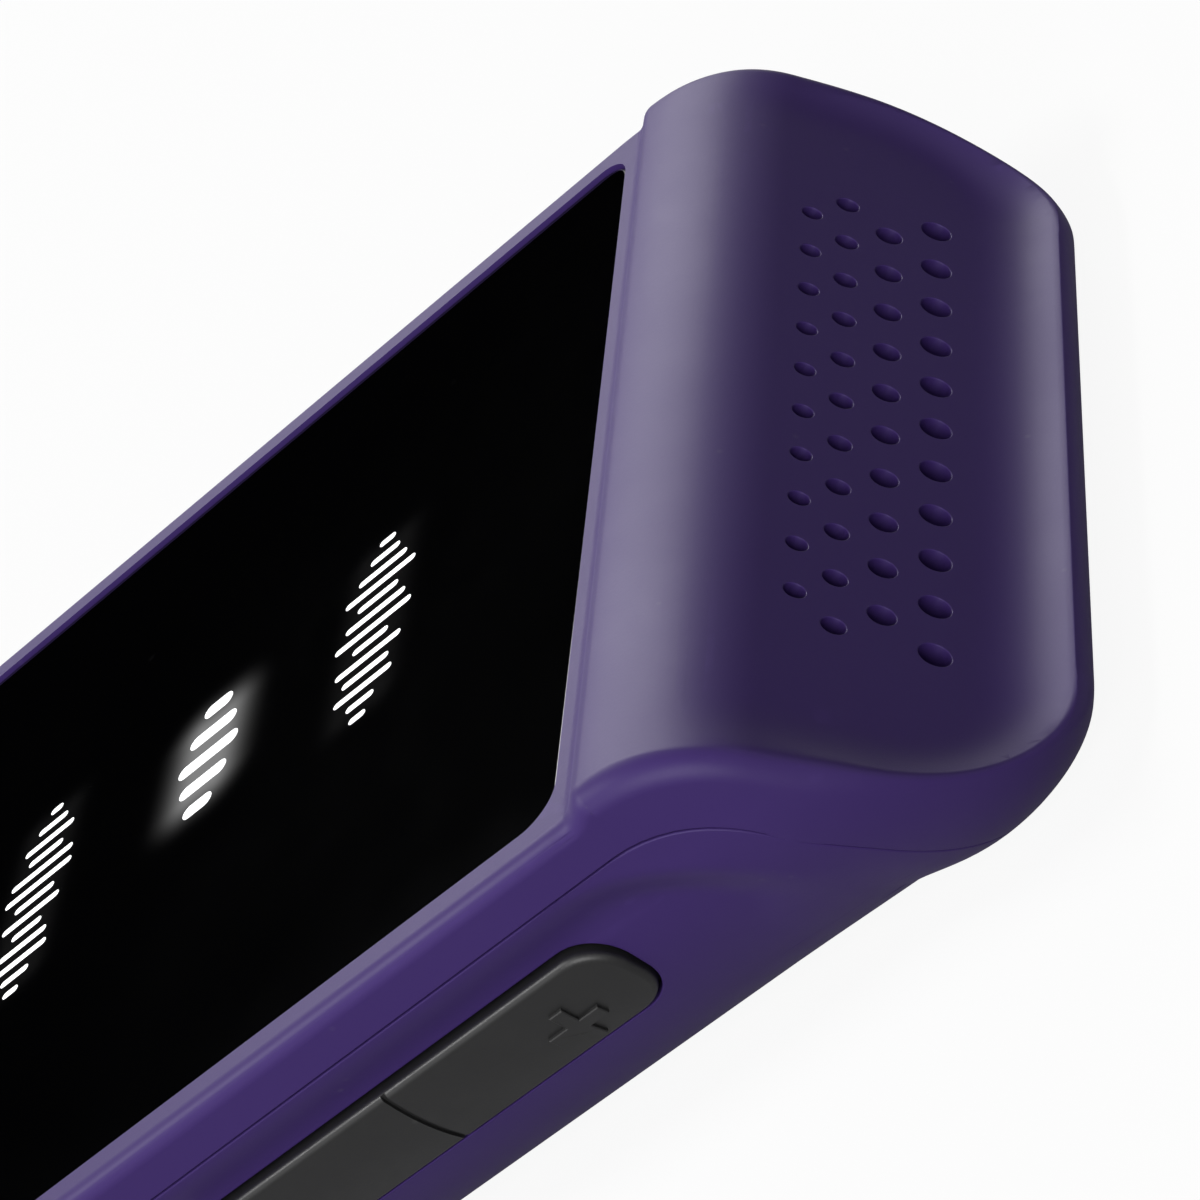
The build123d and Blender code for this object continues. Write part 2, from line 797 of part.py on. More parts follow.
with BuildPart() as main_board:
    with BuildSketch(Plane.XY.offset(main_board_bottom)):
        with Locations((0, sum(main_board_ends) / 2)):
            RectangleRounded(
                main_board_width, main_board_ends[1] - main_board_ends[0], board_radius
            )
    extrude(amount=board_thickness)
finish(main_board, "main_board")

for name, size, centre in (
    ("processor_shield", processor_shield_size, processor_shield_centre),
    ("modem_shield", modem_shield_size, modem_shield_centre),
):
    with BuildPart() as shield:
        with BuildSketch(Plane.XY.offset(main_board_top)):
            with Locations(centre):
                RectangleRounded(size[0], size[1], shield_radius)
        extrude(amount=size[2])
        offset(amount=-shield_sheet, openings=shield.faces().sort_by(Axis.Z)[0])
    finish(shield, name)

with BuildPart() as sub_board:
    with BuildSketch(Plane.XY.offset(sub_board_bottom)):
        with Locations((0, sum(sub_board_ends) / 2)):
            RectangleRounded(sub_board_width, sub_board_ends[1] - sub_board_ends[0], board_radius)
    extrude(amount=board_thickness)
finish(sub_board, "sub_board")

with BuildPart() as link_ribbon:
    with BuildSketch(Plane.YZ.offset(ribbon_x - ribbon_width / 2)):
        under_side = [
            (main_board_ends[0] + ribbon_lap, main_board_top),
            (battery_ends[0], main_board_top),
            (sub_board_ends[1], sub_board_top),
            (sub_board_ends[1] - ribbon_lap, sub_board_top),
        ]
        upper_side = [(y, z + ribbon_thickness) for y, z in reversed(under_side)]
        Polygon(*under_side, *upper_side, align=None)
    extrude(amount=ribbon_width)
finish(link_ribbon, "link_ribbon")

with BuildPart() as port_shell:
    with BuildSketch(Plane.XZ.offset(-port_mouth)):
        with Locations((0, port_centre_height)):
            SlotOverall(port_width, port_height)
    extrude(amount=-port_depth)
    with BuildSketch(Plane.XZ.offset(-port_mouth)):
        with Locations((0, port_centre_height)):
            SlotOverall(port_width - 2 * port_wall, port_height - 2 * port_wall)
    extrude(amount=-(port_depth - port_wall), mode=Mode.SUBTRACT)
finish(port_shell, "port_shell")

with BuildPart() as port_tongue:
    with BuildSketch(Plane.XZ.offset(-port_mouth - tongue_inset)):
        with Locations((0, port_centre_height)):
            RectangleRounded(tongue_width, tongue_height, tongue_height / 4)
    extrude(amount=-(port_depth - port_wall - tongue_inset))
finish(port_tongue, "port_tongue")

with BuildPart() as vibration_motor:
    with BuildSketch(Plane.XY.offset(sub_board_top)):
        with Locations(motor_centre):
            Circle(motor_diameter / 2)
    extrude(amount=motor_thickness)
    chamfer(vibration_motor.faces().sort_by(Axis.Z)[-1].edges(), motor_edge)
finish(vibration_motor, "vibration_motor")

with BuildPart() as microphones:
    with BuildSketch(Plane.XY.offset(sub_board_top)):
        with Locations(port_microphone_place):
            Rectangle(microphone_size[0], microphone_size[1])
    extrude(amount=microphone_size[2])
    with BuildSketch(Plane.XY.offset(main_board_bottom - microphone_size[2])):
        with Locations(rear_microphone_place):
            Rectangle(microphone_size[0], microphone_size[1])
    extrude(amount=microphone_size[2])
finish(microphones, "microphones")

# ---- rear camera ----

with BuildPart() as camera_module:
    with BuildSketch(Plane.XY.offset(main_board_bottom)):
        with Locations(camera_place):
            RectangleRounded(camera_size[0], camera_size[1], camera_radius)
    extrude(amount=-camera_body_height)
    with BuildSketch(Plane.XY.offset(main_board_bottom - camera_body_height)):
        with Locations(camera_place):
            Circle(camera_lens_diameter / 2)
    extrude(amount=-(main_board_bottom - camera_body_height - camera_front))
finish(camera_module, "camera_module")

with BuildPart() as camera_window:
    with BuildSketch(Plane.XY.offset(camera_window_sink)):
        with Locations(camera_place):
            Circle(camera_window_diameter / 2)
    extrude(amount=camera_window_thickness)
finish(camera_window, "camera_window")

with BuildPart() as flash_led:
    with BuildSketch(Plane.XY.offset(main_board_bottom)):
        with Locations(flash_place):
            Rectangle(flash_led_size[0], flash_led_size[1])
    extrude(amount=-flash_led_size[2])
finish(flash_led, "flash_led")

with BuildPart() as flash_window:
    with BuildSketch(Plane.XY.offset(camera_window_sink)):
        with Locations(flash_place):
            Circle(flash_diameter / 2)
    extrude(amount=wall)
    with BuildSketch(Plane.XY.offset(wall)):
        with Locations(flash_place):
            Circle(flash_pipe_diameter / 2)
    extrude(amount=main_board_bottom - flash_led_size[2] - wall)
finish(flash_window, "flash_window")

# ---- speaker, square to the dish floor behind the grille ----

speaker_middle = (grille_rows[0] + grille_rows[-1]) / 2
frame_depth = wall + mesh_thickness + speaker_gasket_thickness

with BuildPart() as speaker_mesh:
    with BuildSketch(slope_plane(speaker_middle, wall)):
        RectangleRounded(speaker_width - 2 * mesh_inset, speaker_height, mesh_radius)
    extrude(amount=-mesh_thickness)
finish(speaker_mesh, "speaker_mesh")

with BuildPart() as speaker_gasket:
    with BuildSketch(slope_plane(speaker_middle, wall + mesh_thickness)):
        SlotOverall(speaker_width, speaker_height)
        SlotOverall(
            speaker_width - 2 * speaker_frame_wall,
            speaker_height - 2 * speaker_frame_wall,
            mode=Mode.SUBTRACT,
        )
    extrude(amount=-speaker_gasket_thickness)
finish(speaker_gasket, "speaker_gasket")

with BuildPart() as speaker_frame:
    with BuildSketch(slope_plane(speaker_middle, frame_depth)):
        SlotOverall(speaker_width, speaker_height)
    extrude(amount=-speaker_depth)
    with BuildSketch(slope_plane(speaker_middle, frame_depth)):
        SlotOverall(
            speaker_width - 2 * speaker_frame_wall, speaker_height - 2 * speaker_frame_wall
        )
    extrude(amount=-(speaker_depth - speaker_frame_wall), mode=Mode.SUBTRACT)
finish(speaker_frame, "speaker_frame")

cone_depth = frame_depth + cone_rise
with BuildPart() as speaker_cone:
    with BuildSketch(slope_plane(speaker_middle, cone_depth)):
        SlotOverall(
            speaker_width - 2 * speaker_frame_wall, speaker_height - 2 * speaker_frame_wall
        )
    extrude(amount=-cone_sheet)
    with BuildSketch(slope_plane(speaker_middle, cone_depth)):
        SlotOverall(
            speaker_width - 2 * speaker_frame_wall - 2 * surround_width,
            speaker_height - 2 * speaker_frame_wall - 2 * surround_width,
        )
    extrude(amount=cone_rise, taper=cone_taper)
finish(speaker_cone, "speaker_cone")

with BuildPart() as speaker_magnet:
    with BuildSketch(slope_plane(speaker_middle, frame_depth + speaker_depth)):
        RectangleRounded(magnet_size[0], magnet_size[1], magnet_radius)
    extrude(amount=-magnet_size[2])
finish(speaker_magnet, "speaker_magnet")

# ---- side keys, their boards and switches ----

with BuildPart() as rocker_groove:
    with Locations((half_width, rocker_centre, key_centre_height)):
        Box(body_width, rocker_groove_width, 2 * key_height)
    add(key_face_slab(rocker_groove_depth), mode=Mode.SUBTRACT)

with BuildPart() as volume_rocker:
    add(side_key(*right_keys[0]))
    add(rocker_groove.part, mode=Mode.SUBTRACT)
finish(volume_rocker, "volume_rocker")

with BuildPart() as power_key:
    add(mirror(side_key(*left_keys[0]), about=Plane.YZ, mode=Mode.PRIVATE))
finish(power_key, "power_key")

with BuildPart() as talk_key:
    add(mirror(side_key(*left_keys[1]), about=Plane.YZ, mode=Mode.PRIVATE))
finish(talk_key, "talk_key")

with BuildPart() as right_key_board:
    add(key_board(right_board_ends, 1))
finish(right_key_board, "right_key_board")

with BuildPart() as left_key_board:
    add(key_board(left_board_ends, -1))
finish(left_key_board, "left_key_board")

with BuildPart() as key_switches:
    for place in right_switches:
        add(tact_switch(place, 1))
    for place in left_switches:
        add(tact_switch(place, -1))
finish(key_switches, "key_switches")
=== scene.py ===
import bmesh
import bpy
import json
import math
import numpy as np
from mathutils import Matrix, Vector


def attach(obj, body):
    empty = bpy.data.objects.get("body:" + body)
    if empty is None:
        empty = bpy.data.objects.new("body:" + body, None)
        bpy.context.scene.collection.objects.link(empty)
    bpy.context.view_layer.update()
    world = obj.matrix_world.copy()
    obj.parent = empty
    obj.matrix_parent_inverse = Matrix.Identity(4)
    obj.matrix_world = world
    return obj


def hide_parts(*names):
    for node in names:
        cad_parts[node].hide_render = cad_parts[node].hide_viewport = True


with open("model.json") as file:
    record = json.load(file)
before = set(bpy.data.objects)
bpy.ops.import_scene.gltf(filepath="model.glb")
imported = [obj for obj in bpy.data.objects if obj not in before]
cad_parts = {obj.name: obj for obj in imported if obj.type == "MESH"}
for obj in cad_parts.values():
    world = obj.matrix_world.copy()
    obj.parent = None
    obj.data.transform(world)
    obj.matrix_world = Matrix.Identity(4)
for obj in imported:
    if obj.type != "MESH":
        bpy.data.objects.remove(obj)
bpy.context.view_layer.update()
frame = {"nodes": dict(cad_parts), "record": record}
nodes = frame["nodes"]
scene = bpy.context.scene
mm = 0.001
tiny = 1e-9  # added to what is divided by, where that could be zero
sharpAngle = math.radians(35)  # faces that meet at more than this show an edge

cameraSettings = {
    "place": (183.71, 141.27, 96.56),  # in millimetres
    "right": (-0.06200, 0.70656, -0.70493),
    "up": (-0.58037, 0.54908, 0.60140),
    "forward": (-0.81199, -0.44641, -0.37602),
    "lens": 135.233, "sensor": 36.0, "clip": (0.01, 20.0),
}


def makeCamera(s):
    data = bpy.data.cameras.new("camera")
    data.lens = s["lens"]
    data.sensor_width = s["sensor"]
    data.clip_start, data.clip_end = s["clip"]
    camera = bpy.data.objects.new("camera", data)
    scene.collection.objects.link(camera)
    right, up, forward = (Vector(s[k]).normalized() for k in ("right", "up", "forward"))
    turn = Matrix((right, up, -forward)).transposed().to_4x4()
    camera.matrix_world = Matrix.Translation(Vector(s["place"]) * mm) @ turn
    scene.camera = camera


makeCamera(cameraSettings)
print("camera set")


def feed(tree, value, socket):
    # a link where the value is a socket, else the socket's own number or colour
    if isinstance(value, bpy.types.NodeSocket):
        tree.links.new(value, socket)
    else:
        socket.default_value = value


def addNode(tree, kind, settings=None, **sockets):
    node = tree.nodes.new(kind)
    for key, value in (settings or {}).items():
        setattr(node, key, value)
    for key, value in sockets.items():
        feed(tree, value, node.inputs[key])
    return node


def arithmetic(tree, operation, *values, clamp=False):
    node = addNode(tree, "ShaderNodeMath", {"operation": operation, "use_clamp": clamp})
    for value, socket in zip(values, node.inputs):
        feed(tree, value, socket)
    return node.outputs[0]


def remap(tree, value, fromRange, toRange):
    node = tree.nodes.new("ShaderNodeMapRange")
    names = ("Value", "From Min", "From Max", "To Min", "To Max")
    for name, entry in zip(names, (value, *fromRange, *toRange)):
        feed(tree, entry, node.inputs[name])
    return node.outputs["Result"]


def mixColor(tree, factor, first, second):
    node = addNode(tree, "ShaderNodeMix", {"data_type": "RGBA"}, Factor=factor, A=first, B=second)
    return node.outputs["Result"]


def rgba(color, gain=1.0):
    return (*(c * gain for c in color), 1.0)


def grey(value):
    return (value, value, value, 1.0)


def newMaterial(name):
    material = bpy.data.materials.new(name)
    material.use_nodes = True
    return material, material.node_tree, material.node_tree.nodes["Principled BSDF"]


lightSettings = {
    "middle": (0.0, 0.03, 0.01),  # what the lamps point at
    "lamps": {  # a lamp lights the object's matt colour, its gloss or both, as its last entry says
        "skySoftbox": {
            "place": (-0.68, -0.1, 0.56), "size": (0.72, 0.25), "power": 4.8, "lights": ("glossy",),
        },
        "sideSoftbox": {
            "place": (0.75, 0.13, 0.38), "size": (0.6, 0.5), "power": 4.9, "lights": ("diffuse", "glossy"),
        },
        "overheadSoftbox": {
            "place": (0.22, -0.42, 0.76), "size": (0.4, 0.1), "power": 4.2, "lights": ("diffuse", "glossy"),
        },
        "leftFill": {
            "place": (-0.6, -0.1, 0.25), "size": (0.3, 0.3), "power": 1.2, "lights": ("diffuse",),
        },
    },
    "cards": {  # upright, each at one x, with its reach in y and z
        "glassCard": {"x": -0.8, "y": (-1.1, -0.22), "z": (0.2, 0.47)},
        "dishCard": {"x": -0.8, "y": (0.3, 1.2), "z": (0.0, 0.52)},
    },
    "room": 0.05,  # grey of the room, as the object sees it
    "floorHalf": 3,  # half the side of the floor, in metres
    "floorColor": (0.3, 0.9),  # grey of the floor as it lights the object, and as it is seen
    "floorLit": 0.08,  # share of the floor that shows its own light and shadow
    "floorGloss": 0.1,  # how much of the floor's white the glosses pick up
}


def lamp(name, s, middle):
    data = bpy.data.lights.new(name, "AREA")
    data.shape = "RECTANGLE"
    data.size, data.size_y = s["size"]
    data.energy = s["power"]
    item = bpy.data.objects.new(name, data)
    scene.collection.objects.link(item)
    item.visible_diffuse = "diffuse" in s["lights"]
    item.visible_glossy = "glossy" in s["lights"]
    place = Vector(s["place"])
    aim = (Vector(middle) - place).to_track_quat("-Z", "Y")
    item.matrix_world = Matrix.Translation(place) @ aim.to_matrix().to_4x4()


def seenDirectly(tree, gloss=1.0):
    # 1 for rays that come straight from the camera or through glass, and the given share for a gloss
    path = tree.nodes.new("ShaderNodeLightPath")
    weighed = arithmetic(tree, "MULTIPLY", path.outputs["Is Glossy Ray"], gloss)
    seen = arithmetic(tree, "MAXIMUM", path.outputs["Is Camera Ray"], weighed)
    return arithmetic(tree, "MAXIMUM", seen, path.outputs["Is Transmission Ray"])


def flatPiece(name, corners, material):
    mesh = bpy.data.meshes.new(name)
    mesh.from_pydata(corners, [], [(0, 1, 2, 3)])
    mesh.materials.append(material)
    piece = bpy.data.objects.new(name, mesh)
    scene.collection.objects.link(piece)
    return piece


def makeWorld(s):
    # dim as it lights the object, white where it is seen
    world = bpy.data.worlds.new("room")
    scene.world = world
    world.use_nodes = True
    tree = world.node_tree
    color = mixColor(tree, seenDirectly(tree), grey(s["room"]), grey(1.0))
    feed(tree, color, tree.nodes["Background"].inputs["Color"])


def makeFloor(s):
    # grey in the light that it throws back, near white where it is seen, with a faint shadow
    paint = bpy.data.materials.new("floorPaint")
    paint.use_nodes = True
    tree = paint.node_tree
    tree.nodes.clear()
    low, high = s["floorColor"]
    seen = seenDirectly(tree, s["floorGloss"])
    lit = addNode(tree, "ShaderNodeBsdfDiffuse", Color=mixColor(tree, seen, grey(low), grey(high)))
    glow = addNode(tree, "ShaderNodeEmission", Color=grey(1.0))
    share = arithmetic(tree, "MULTIPLY", seen, 1 - s["floorLit"])
    blend = addNode(tree, "ShaderNodeMixShader", Fac=share)
    feed(tree, lit.outputs[0], blend.inputs[1])
    feed(tree, glow.outputs[0], blend.inputs[2])
    addNode(tree, "ShaderNodeOutputMaterial", Surface=blend.outputs[0])
    half = s["floorHalf"]
    corners = [(-half, -half, 0), (half, -half, 0), (half, half, 0), (-half, half, 0)]
    flatPiece("floor", corners, paint)


def makeCards(cards):
    # dark cards that only glosses see, so that the glass and the dish mirror something black
    black, _, shader = newMaterial("cardBlack")
    shader.inputs["Base Color"].default_value = grey(0.0)
    shader.inputs["Specular IOR Level"].default_value = 0
    for name, c in cards.items():
        (left, right), (low, high) = c["y"], c["z"]
        corners = [(c["x"], y, z) for y, z in ((left, low), (right, low), (right, high), (left, high))]
        card = flatPiece(name, corners, black)
        for ray in ("camera", "diffuse", "transmission", "shadow", "volume_scatter"):
            setattr(card, "visible_" + ray, False)


for lampName, lampSettings in lightSettings["lamps"].items():
    lamp(lampName, lampSettings, lightSettings["middle"])
makeWorld(lightSettings)
makeFloor(lightSettings)
makeCards(lightSettings["cards"])
scene.view_settings.view_transform = "Standard"
print("room lit")


def noise(tree, place, scale, **numbers):
    return addNode(tree, "ShaderNodeTexNoise", Vector=place, Scale=scale, **numbers).outputs["Fac"]


def buildGrain(tree, given):
    # the fine spark-eroded grain of a mould: pebbles with finer dust between them
    finer, dustShare = 2.3, 0.5
    pebbles = addNode(
        tree, "ShaderNodeTexVoronoi", {"feature": "SMOOTH_F1"},
        Vector=given["Place"], Scale=given["Scale"], Smoothness=0.7,
    )
    dustScale = arithmetic(tree, "MULTIPLY", given["Scale"], finer)
    dust = noise(tree, given["Place"], dustScale, Detail=3.0, Roughness=0.6)
    height = arithmetic(tree, "MULTIPLY_ADD", dust, dustShare, pebbles.outputs["Distance"])
    return {"Height": height, "Shade": dust}


def buildHandling(tree, given):
    # where hands have polished a surface: broad soft patches, broken up by finer marks
    finer, patchRange, markRange, leastKept = 11.0, (0.38, 0.66), (0.3, 0.7), 0.55
    broad = noise(tree, given["Place"], given["Scale"], Detail=4.0, Roughness=0.55, Distortion=0.3)
    fineScale = arithmetic(tree, "MULTIPLY", given["Scale"], finer)
    fine = noise(tree, given["Place"], fineScale, Detail=2.0)
    patches = remap(tree, broad, patchRange, (0.0, 1.0))
    broken = arithmetic(tree, "MULTIPLY", patches, remap(tree, fine, markRange, (leastKept, 1.0)))
    return {"Mask": arithmetic(tree, "MULTIPLY", broken, given["Amount"], clamp=True)}


def buildDust(tree, given):
    # scattered specks of dust, in some of the cells only
    speckRange, emptyShare = (0.02, 0.09), 0.72
    cells = addNode(
        tree, "ShaderNodeTexVoronoi", {"feature": "F1"},
        Vector=given["Place"], Scale=given["Scale"], Randomness=1.0,
    )
    size = remap(tree, cells.outputs["Distance"], speckRange, (1.0, 0.0))
    pick = addNode(tree, "ShaderNodeSeparateColor", Color=cells.outputs["Color"])
    some = arithmetic(tree, "GREATER_THAN", pick.outputs["Red"], emptyShare)
    specks = arithmetic(tree, "MULTIPLY", size, some)
    return {"Mask": arithmetic(tree, "MULTIPLY", specks, given["Amount"], clamp=True)}


def buildEdges(tree, given):
    # worn edges, from how sharply the surface turns, broken up unevenly
    breakRange = (0.4, 0.65)
    pointed = tree.nodes.new("ShaderNodeNewGeometry").outputs["Pointiness"]
    sharp = remap(tree, pointed, (given["Start"], given["Full"]), (0.0, 1.0))
    uneven = noise(tree, given["Place"], given["Scale"], Detail=4.0)
    breaks = remap(tree, uneven, breakRange, (0.0, 1.0))
    return {"Mask": arithmetic(tree, "MULTIPLY", sharp, breaks, clamp=True)}


def buildBrushed(tree, given):
    # fine lines left by a brush or a die, along Y
    stretch = addNode(tree, "ShaderNodeVectorMath", {"operation": "MULTIPLY"})
    feed(tree, given["Place"], stretch.inputs[0])
    feed(tree, (1.0, 0.03, 1.0), stretch.inputs[1])
    lines = noise(tree, stretch.outputs[0], given["Scale"], Detail=5.0, Roughness=0.65)
    return {"Height": lines, "Shade": lines}


def buildWeave(tree, given):
    # plain weave of round threads
    split = addNode(tree, "ShaderNodeSeparateXYZ", Vector=given["Place"])
    turns = arithmetic(tree, "MULTIPLY", given["Scale"], 2 * math.pi)
    across = arithmetic(tree, "SINE", arithmetic(tree, "MULTIPLY", split.outputs["X"], turns))
    length = arithmetic(tree, "SUBTRACT", split.outputs["Y"], split.outputs["Z"])
    down = arithmetic(tree, "SINE", arithmetic(tree, "MULTIPLY", length, turns))
    woven = arithmetic(tree, "MULTIPLY", across, down)
    height = remap(tree, woven, (-1.0, 1.0), (0.0, 1.0))
    return {"Height": height, "Shade": arithmetic(tree, "ABSOLUTE", woven)}


def effectGroup(name, numbers, results, build):
    group = bpy.data.node_groups.new(name, "ShaderNodeTree")
    group.interface.new_socket(name="Place", in_out="INPUT", socket_type="NodeSocketVector")
    for label in numbers:
        group.interface.new_socket(name=label, in_out="INPUT", socket_type="NodeSocketFloat")
    for label in results:
        group.interface.new_socket(name=label, in_out="OUTPUT", socket_type="NodeSocketFloat")
    start = group.nodes.new("NodeGroupInput")
    end = group.nodes.new("NodeGroupOutput")
    for label, socket in build(group, start.outputs).items():
        feed(group, socket, end.inputs[label])
    return group


relief, mask = ("Height", "Shade"), ("Mask",)
groups = {
    "grain": effectGroup("mouldedGrain", ("Scale",), relief, buildGrain),
    "brushed": effectGroup("brushedLines", ("Scale",), relief, buildBrushed),
    "weave": effectGroup("plainWeave", ("Scale",), relief, buildWeave),
    "handling": effectGroup("handlingMarks", ("Scale", "Amount"), mask, buildHandling),
    "dust": effectGroup("dustSpecks", ("Scale", "Amount"), mask, buildDust),
    "edges": effectGroup("wornEdges", ("Scale", "Start", "Full"), mask, buildEdges),
}


def placeGroup(tree, name, **sockets):
    return addNode(tree, "ShaderNodeGroup", {"node_tree": groups[name]}, **sockets)


finishDefaults = {  # scales are repeats in a metre, and bump is a depth in metres
    "pattern": "grain", "scale": 5000.0, "shadeRange": (0.3, 0.7), "toneDepth": 0.25, "toneGain": 0.8,
    "markScale": 60.0, "dustScale": 420.0, "dust": 0.15, "dustColor": (0.45, 0.44, 0.43),
    "wornScale": 600.0, "wornRange": (0.53, 0.62), "wornGain": 1.4, "wear": 0.2,
    "roughGrain": 0.02, "bump": 0.0, "bumpStrength": 0.5, "shader": {},
}


def makeFinish(name, given):
    # a material from its dictionary: two tones, gloss that varies, grain, handling, dust and worn edges
    s = {**finishDefaults, "wornColor": given["color"], **given}
    material, tree, shader = newMaterial(name)
    place = tree.nodes.new("ShaderNodeTexCoord").outputs["Object"]
    grain = placeGroup(tree, s["pattern"], Place=place, Scale=s["scale"])
    shade = grain.outputs["Shade"]
    marks = placeGroup(tree, "handling", Place=place, Scale=s["markScale"], Amount=1.0).outputs["Mask"]
    dust = placeGroup(tree, "dust", Place=place, Scale=s["dustScale"], Amount=s["dust"]).outputs["Mask"]
    start, full = s["wornRange"]
    edges = placeGroup(tree, "edges", Place=place, Scale=s["wornScale"], Start=start, Full=full)
    toned = mixColor(tree, marks, rgba(s["color"]), rgba(s["marked"]))
    depth = remap(tree, shade, s["shadeRange"], (0.0, s["toneDepth"]))
    deep = mixColor(tree, depth, toned, rgba(s["color"], s["toneGain"]))
    wear = arithmetic(tree, "MULTIPLY", edges.outputs["Mask"], s["wear"])
    edged = mixColor(tree, wear, deep, rgba(s["wornColor"], s["wornGain"]))
    dusted = mixColor(tree, dust, edged, rgba(s["dustColor"]))
    feed(tree, dusted, shader.inputs["Base Color"])
    low, high = s["rough"]
    smooth = remap(tree, marks, (0.0, 1.0), (high, low))
    grained = remap(tree, shade, s["shadeRange"], (-s["roughGrain"], s["roughGrain"]))
    feed(tree, arithmetic(tree, "ADD", smooth, grained, clamp=True), shader.inputs["Roughness"])
    if s["bump"]:
        bump = addNode(
            tree, "ShaderNodeBump",
            Height=grain.outputs["Height"], Strength=s["bumpStrength"], Distance=s["bump"],
        )
        feed(tree, bump.outputs["Normal"], shader.inputs["Normal"])
    for key, value in s["shader"].items():
        shader.inputs[key].default_value = value
    return material


finishSettings = {
    "housing": {
        "color": (0.048, 0.0235, 0.140), "marked": (0.053, 0.027, 0.150),
        "wornColor": (0.062, 0.034, 0.165), "rough": (0.40, 0.46), "scale": 5200.0, "bump": 0.000012,
        "bumpStrength": 0.16, "markScale": 45.0, "toneDepth": 0.15, "dust": 0.05,
        "shader": {"Specular IOR Level": 0.2},
    },
    "key_plastic": {
        "color": (0.0165, 0.0165, 0.0168), "marked": (0.0205, 0.0205, 0.021),
        "wornColor": (0.03, 0.03, 0.03), "rough": (0.36, 0.44), "scale": 6500.0, "bump": 0.00001,
        "bumpStrength": 0.2, "markScale": 120.0, "dust": 0.05, "shader": {"Specular IOR Level": 0.45},
    },
    "foam": {
        "color": (0.012, 0.012, 0.012), "marked": (0.02, 0.02, 0.02), "rough": (0.85, 0.95),
        "scale": 2600.0, "bump": 0.00008, "markScale": 200.0, "shader": {"Specular IOR Level": 0.15},
    },
    "display": {
        "color": (0.004, 0.004, 0.005), "marked": (0.008, 0.008, 0.01), "rough": (0.15, 0.25),
        "scale": 9000.0, "dust": 0.02, "shader": {"Specular IOR Level": 0.4},
    },
    "frame_metal": {
        "color": (0.52, 0.52, 0.54), "marked": (0.44, 0.44, 0.46), "rough": (0.28, 0.42),
        "pattern": "brushed", "scale": 7000.0, "bump": 0.00001, "wear": 0.1, "shader": {"Metallic": 1.0},
    },
    "screw_steel": {
        "color": (0.10, 0.10, 0.105), "marked": (0.16, 0.16, 0.165), "wornColor": (0.4, 0.4, 0.4),
        "rough": (0.25, 0.38), "scale": 9000.0, "bump": 0.000008, "wear": 0.6,
        "shader": {"Metallic": 1.0},
    },
    "battery_wrap": {
        "color": (0.028, 0.03, 0.034), "marked": (0.045, 0.047, 0.052), "rough": (0.3, 0.42),
        "scale": 900.0, "bump": 0.00006, "bumpStrength": 0.4, "markScale": 90.0,
        "shader": {"Coat Weight": 0.15},
    },
    "shield_metal": {
        "color": (0.55, 0.54, 0.52), "marked": (0.45, 0.44, 0.42), "rough": (0.25, 0.38),
        "pattern": "brushed", "scale": 5000.0, "bump": 0.000008, "shader": {"Metallic": 1.0},
    },
    "ribbon_film": {
        "color": (0.16, 0.055, 0.012), "marked": (0.2, 0.075, 0.018), "rough": (0.3, 0.4),
        "pattern": "brushed", "scale": 3000.0, "bump": 0.00001, "toneGain": 0.6, "toneDepth": 0.6,
    },
    "port_metal": {
        "color": (0.50, 0.50, 0.51), "marked": (0.42, 0.42, 0.43), "wornColor": (0.7, 0.7, 0.7),
        "rough": (0.22, 0.34), "scale": 8000.0, "bump": 0.000006, "wear": 0.4,
        "shader": {"Metallic": 1.0},
    },
    "dark_plastic": {
        "color": (0.014, 0.014, 0.015), "marked": (0.02, 0.02, 0.021), "rough": (0.38, 0.5),
        "scale": 4200.0, "bump": 0.00002, "markScale": 150.0,
    },
    "camera_glass": {
        "color": (0.003, 0.003, 0.004), "marked": (0.005, 0.005, 0.007), "rough": (0.03, 0.07),
        "scale": 9000.0, "dust": 0.02, "roughGrain": 0.005, "shader": {"Coat Weight": 0.3},
    },
    "led": {
        "color": (0.75, 0.66, 0.25), "marked": (0.7, 0.6, 0.2), "rough": (0.3, 0.4), "scale": 6000.0,
        "bump": 0.00001,
    },
    "light_pipe": {
        "color": (0.80, 0.80, 0.78), "marked": (0.75, 0.75, 0.72), "rough": (0.12, 0.2), "scale": 2600.0,
        "bump": 0.00002, "dust": 0.03, "shader": {"Transmission Weight": 0.35, "IOR": 1.49},
    },
    "switch_metal": {
        "color": (0.6, 0.58, 0.52), "marked": (0.5, 0.48, 0.44), "rough": (0.22, 0.32),
        "pattern": "brushed", "scale": 9000.0, "bump": 0.000006, "shader": {"Metallic": 1.0},
    },
    "cone_paper": {
        "color": (0.02, 0.02, 0.021), "marked": (0.035, 0.035, 0.036), "rough": (0.7, 0.85),
        "scale": 2200.0, "bump": 0.00005, "toneDepth": 0.5,
    },
    "magnet_steel": {
        "color": (0.48, 0.48, 0.49), "marked": (0.40, 0.40, 0.41), "rough": (0.28, 0.4),
        "pattern": "brushed", "scale": 6000.0, "bump": 0.00001, "shader": {"Metallic": 1.0},
    },
    "mesh_fabric": {
        "color": (0.012, 0.010, 0.02), "marked": (0.018, 0.015, 0.03), "rough": (0.7, 0.85),
        "pattern": "weave", "scale": 3300.0, "bump": 0.00008, "bumpStrength": 0.8, "toneDepth": 0.7,
        "toneGain": 0.4,
    },
    "circuit_board": {
        "color": (0.008, 0.045, 0.022), "marked": (0.012, 0.06, 0.03), "rough": (0.3, 0.42),
        "scale": 3000.0, "bump": 0.00002, "toneDepth": 0.5,
    },
}

finishes = {slot: makeFinish(slot, s) for slot, s in finishSettings.items()}

